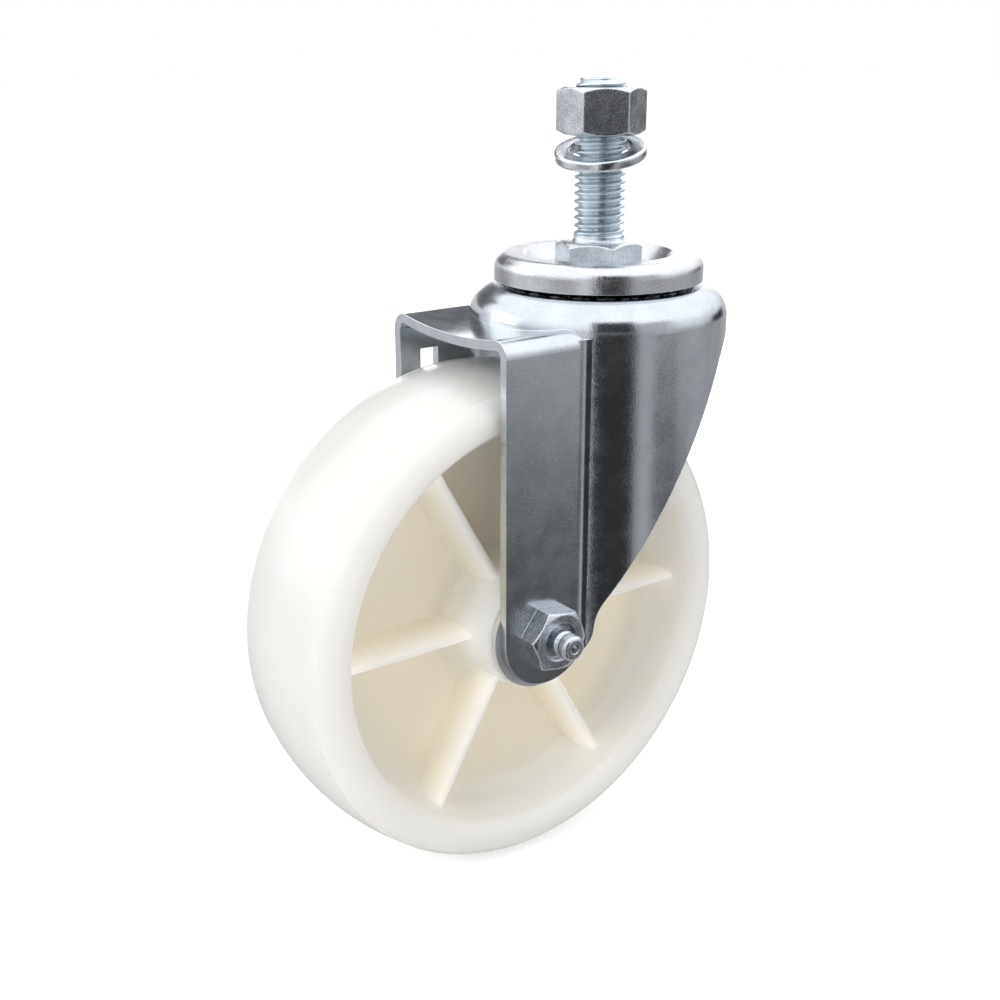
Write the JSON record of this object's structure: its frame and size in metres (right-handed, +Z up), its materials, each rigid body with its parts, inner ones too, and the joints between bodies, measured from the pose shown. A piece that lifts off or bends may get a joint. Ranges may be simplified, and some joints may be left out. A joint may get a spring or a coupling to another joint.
{
  "type": "swivel castor",
  "caption": "Swivel castor with a threaded stem, nut and spring washer, a pressed steel fork on two ball races, and a ribbed white wheel on a roller bearing with a greased axle.",
  "frame": {"origin": "on the swivel axis, at the top face of the stem's hexagonal collar, where the castor bears on its carrier", "axes": "+Z up the stem, the wheel trails to -X, the axle lies along Y with its nut and grease nipple on the -Y side"},
  "size_m": [0.1293, 0.0664, 0.1925],
  "materials": {
    "zinc_sheet": "bright zinc plate over pressed sheet",
    "zinc_bar": "bright zinc plate over turned and forged bar",
    "bearing_steel": "ground and hardened",
    "white_polymer": "moulded, slightly waxy gloss"
  },
  "bodies": {
    "stem": {"threaded_stem": "zinc_bar", "top_cap": "zinc_sheet", "lower_race": "zinc_sheet"},
    "nut": {"stem_nut": "zinc_bar"},
    "washer": {"spring_washer": "zinc_sheet"},
    "fork": {"fork": "zinc_sheet", "axle_bolt": "zinc_bar", "axle_nut": "zinc_bar", "grease_nipple": "zinc_bar", "check_ball": "bearing_steel", "axle_sleeve": "bearing_steel", "thrust_washer_near": "zinc_sheet", "thrust_washer_far": "zinc_sheet"},
    "upper_ball_ring": {"upper_balls": "bearing_steel"},
    "lower_ball_ring": {"lower_balls": "bearing_steel"},
    "roller_set": {"bearing_rollers": "bearing_steel", "roller_cage": "zinc_sheet"},
    "wheel": {"wheel": "white_polymer", "hub_liner": "bearing_steel"}
  },
  "joints": [
    {"name": "swivel", "type": "hinge", "parent": "stem", "child": "fork", "pos_m": [0, 0, 0], "axis": [0, 0, 1], "continuous": true},
    {"name": "wheel_spin", "type": "hinge", "parent": "fork", "child": "wheel", "pos_m": [-0.0332, 0, -0.0903], "axis": [0, 1, 0], "continuous": true},
    {"name": "nut_travel", "type": "slide", "parent": "stem", "child": "nut", "axis": [0, 0, 1], "range_m": [-0.0165, 0.012]},
    {"name": "washer_travel", "type": "slide", "parent": "stem", "child": "washer", "axis": [0, 0, 1], "range_m": [-0.0165, 0.012]},
    {"name": "upper_ball_turn", "type": "hinge", "parent": "stem", "child": "upper_ball_ring", "pos_m": [0, 0, 0], "axis": [0, 0, 1], "continuous": true},
    {"name": "lower_ball_turn", "type": "hinge", "parent": "stem", "child": "lower_ball_ring", "pos_m": [0, 0, 0], "axis": [0, 0, 1], "continuous": true},
    {"name": "roller_turn", "type": "hinge", "parent": "fork", "child": "roller_set", "pos_m": [-0.0332, 0, -0.0903], "axis": [0, 1, 0], "continuous": true}
  ],
  "couplings": [
    {"joint": "washer_travel", "follows": "nut_travel", "ratio": 1},
    {"joint": "upper_ball_turn", "follows": "swivel", "ratio": 0.5},
    {"joint": "lower_ball_turn", "follows": "swivel", "ratio": 0.5},
    {"joint": "roller_turn", "follows": "wheel_spin", "ratio": 0.61}
  ]
}
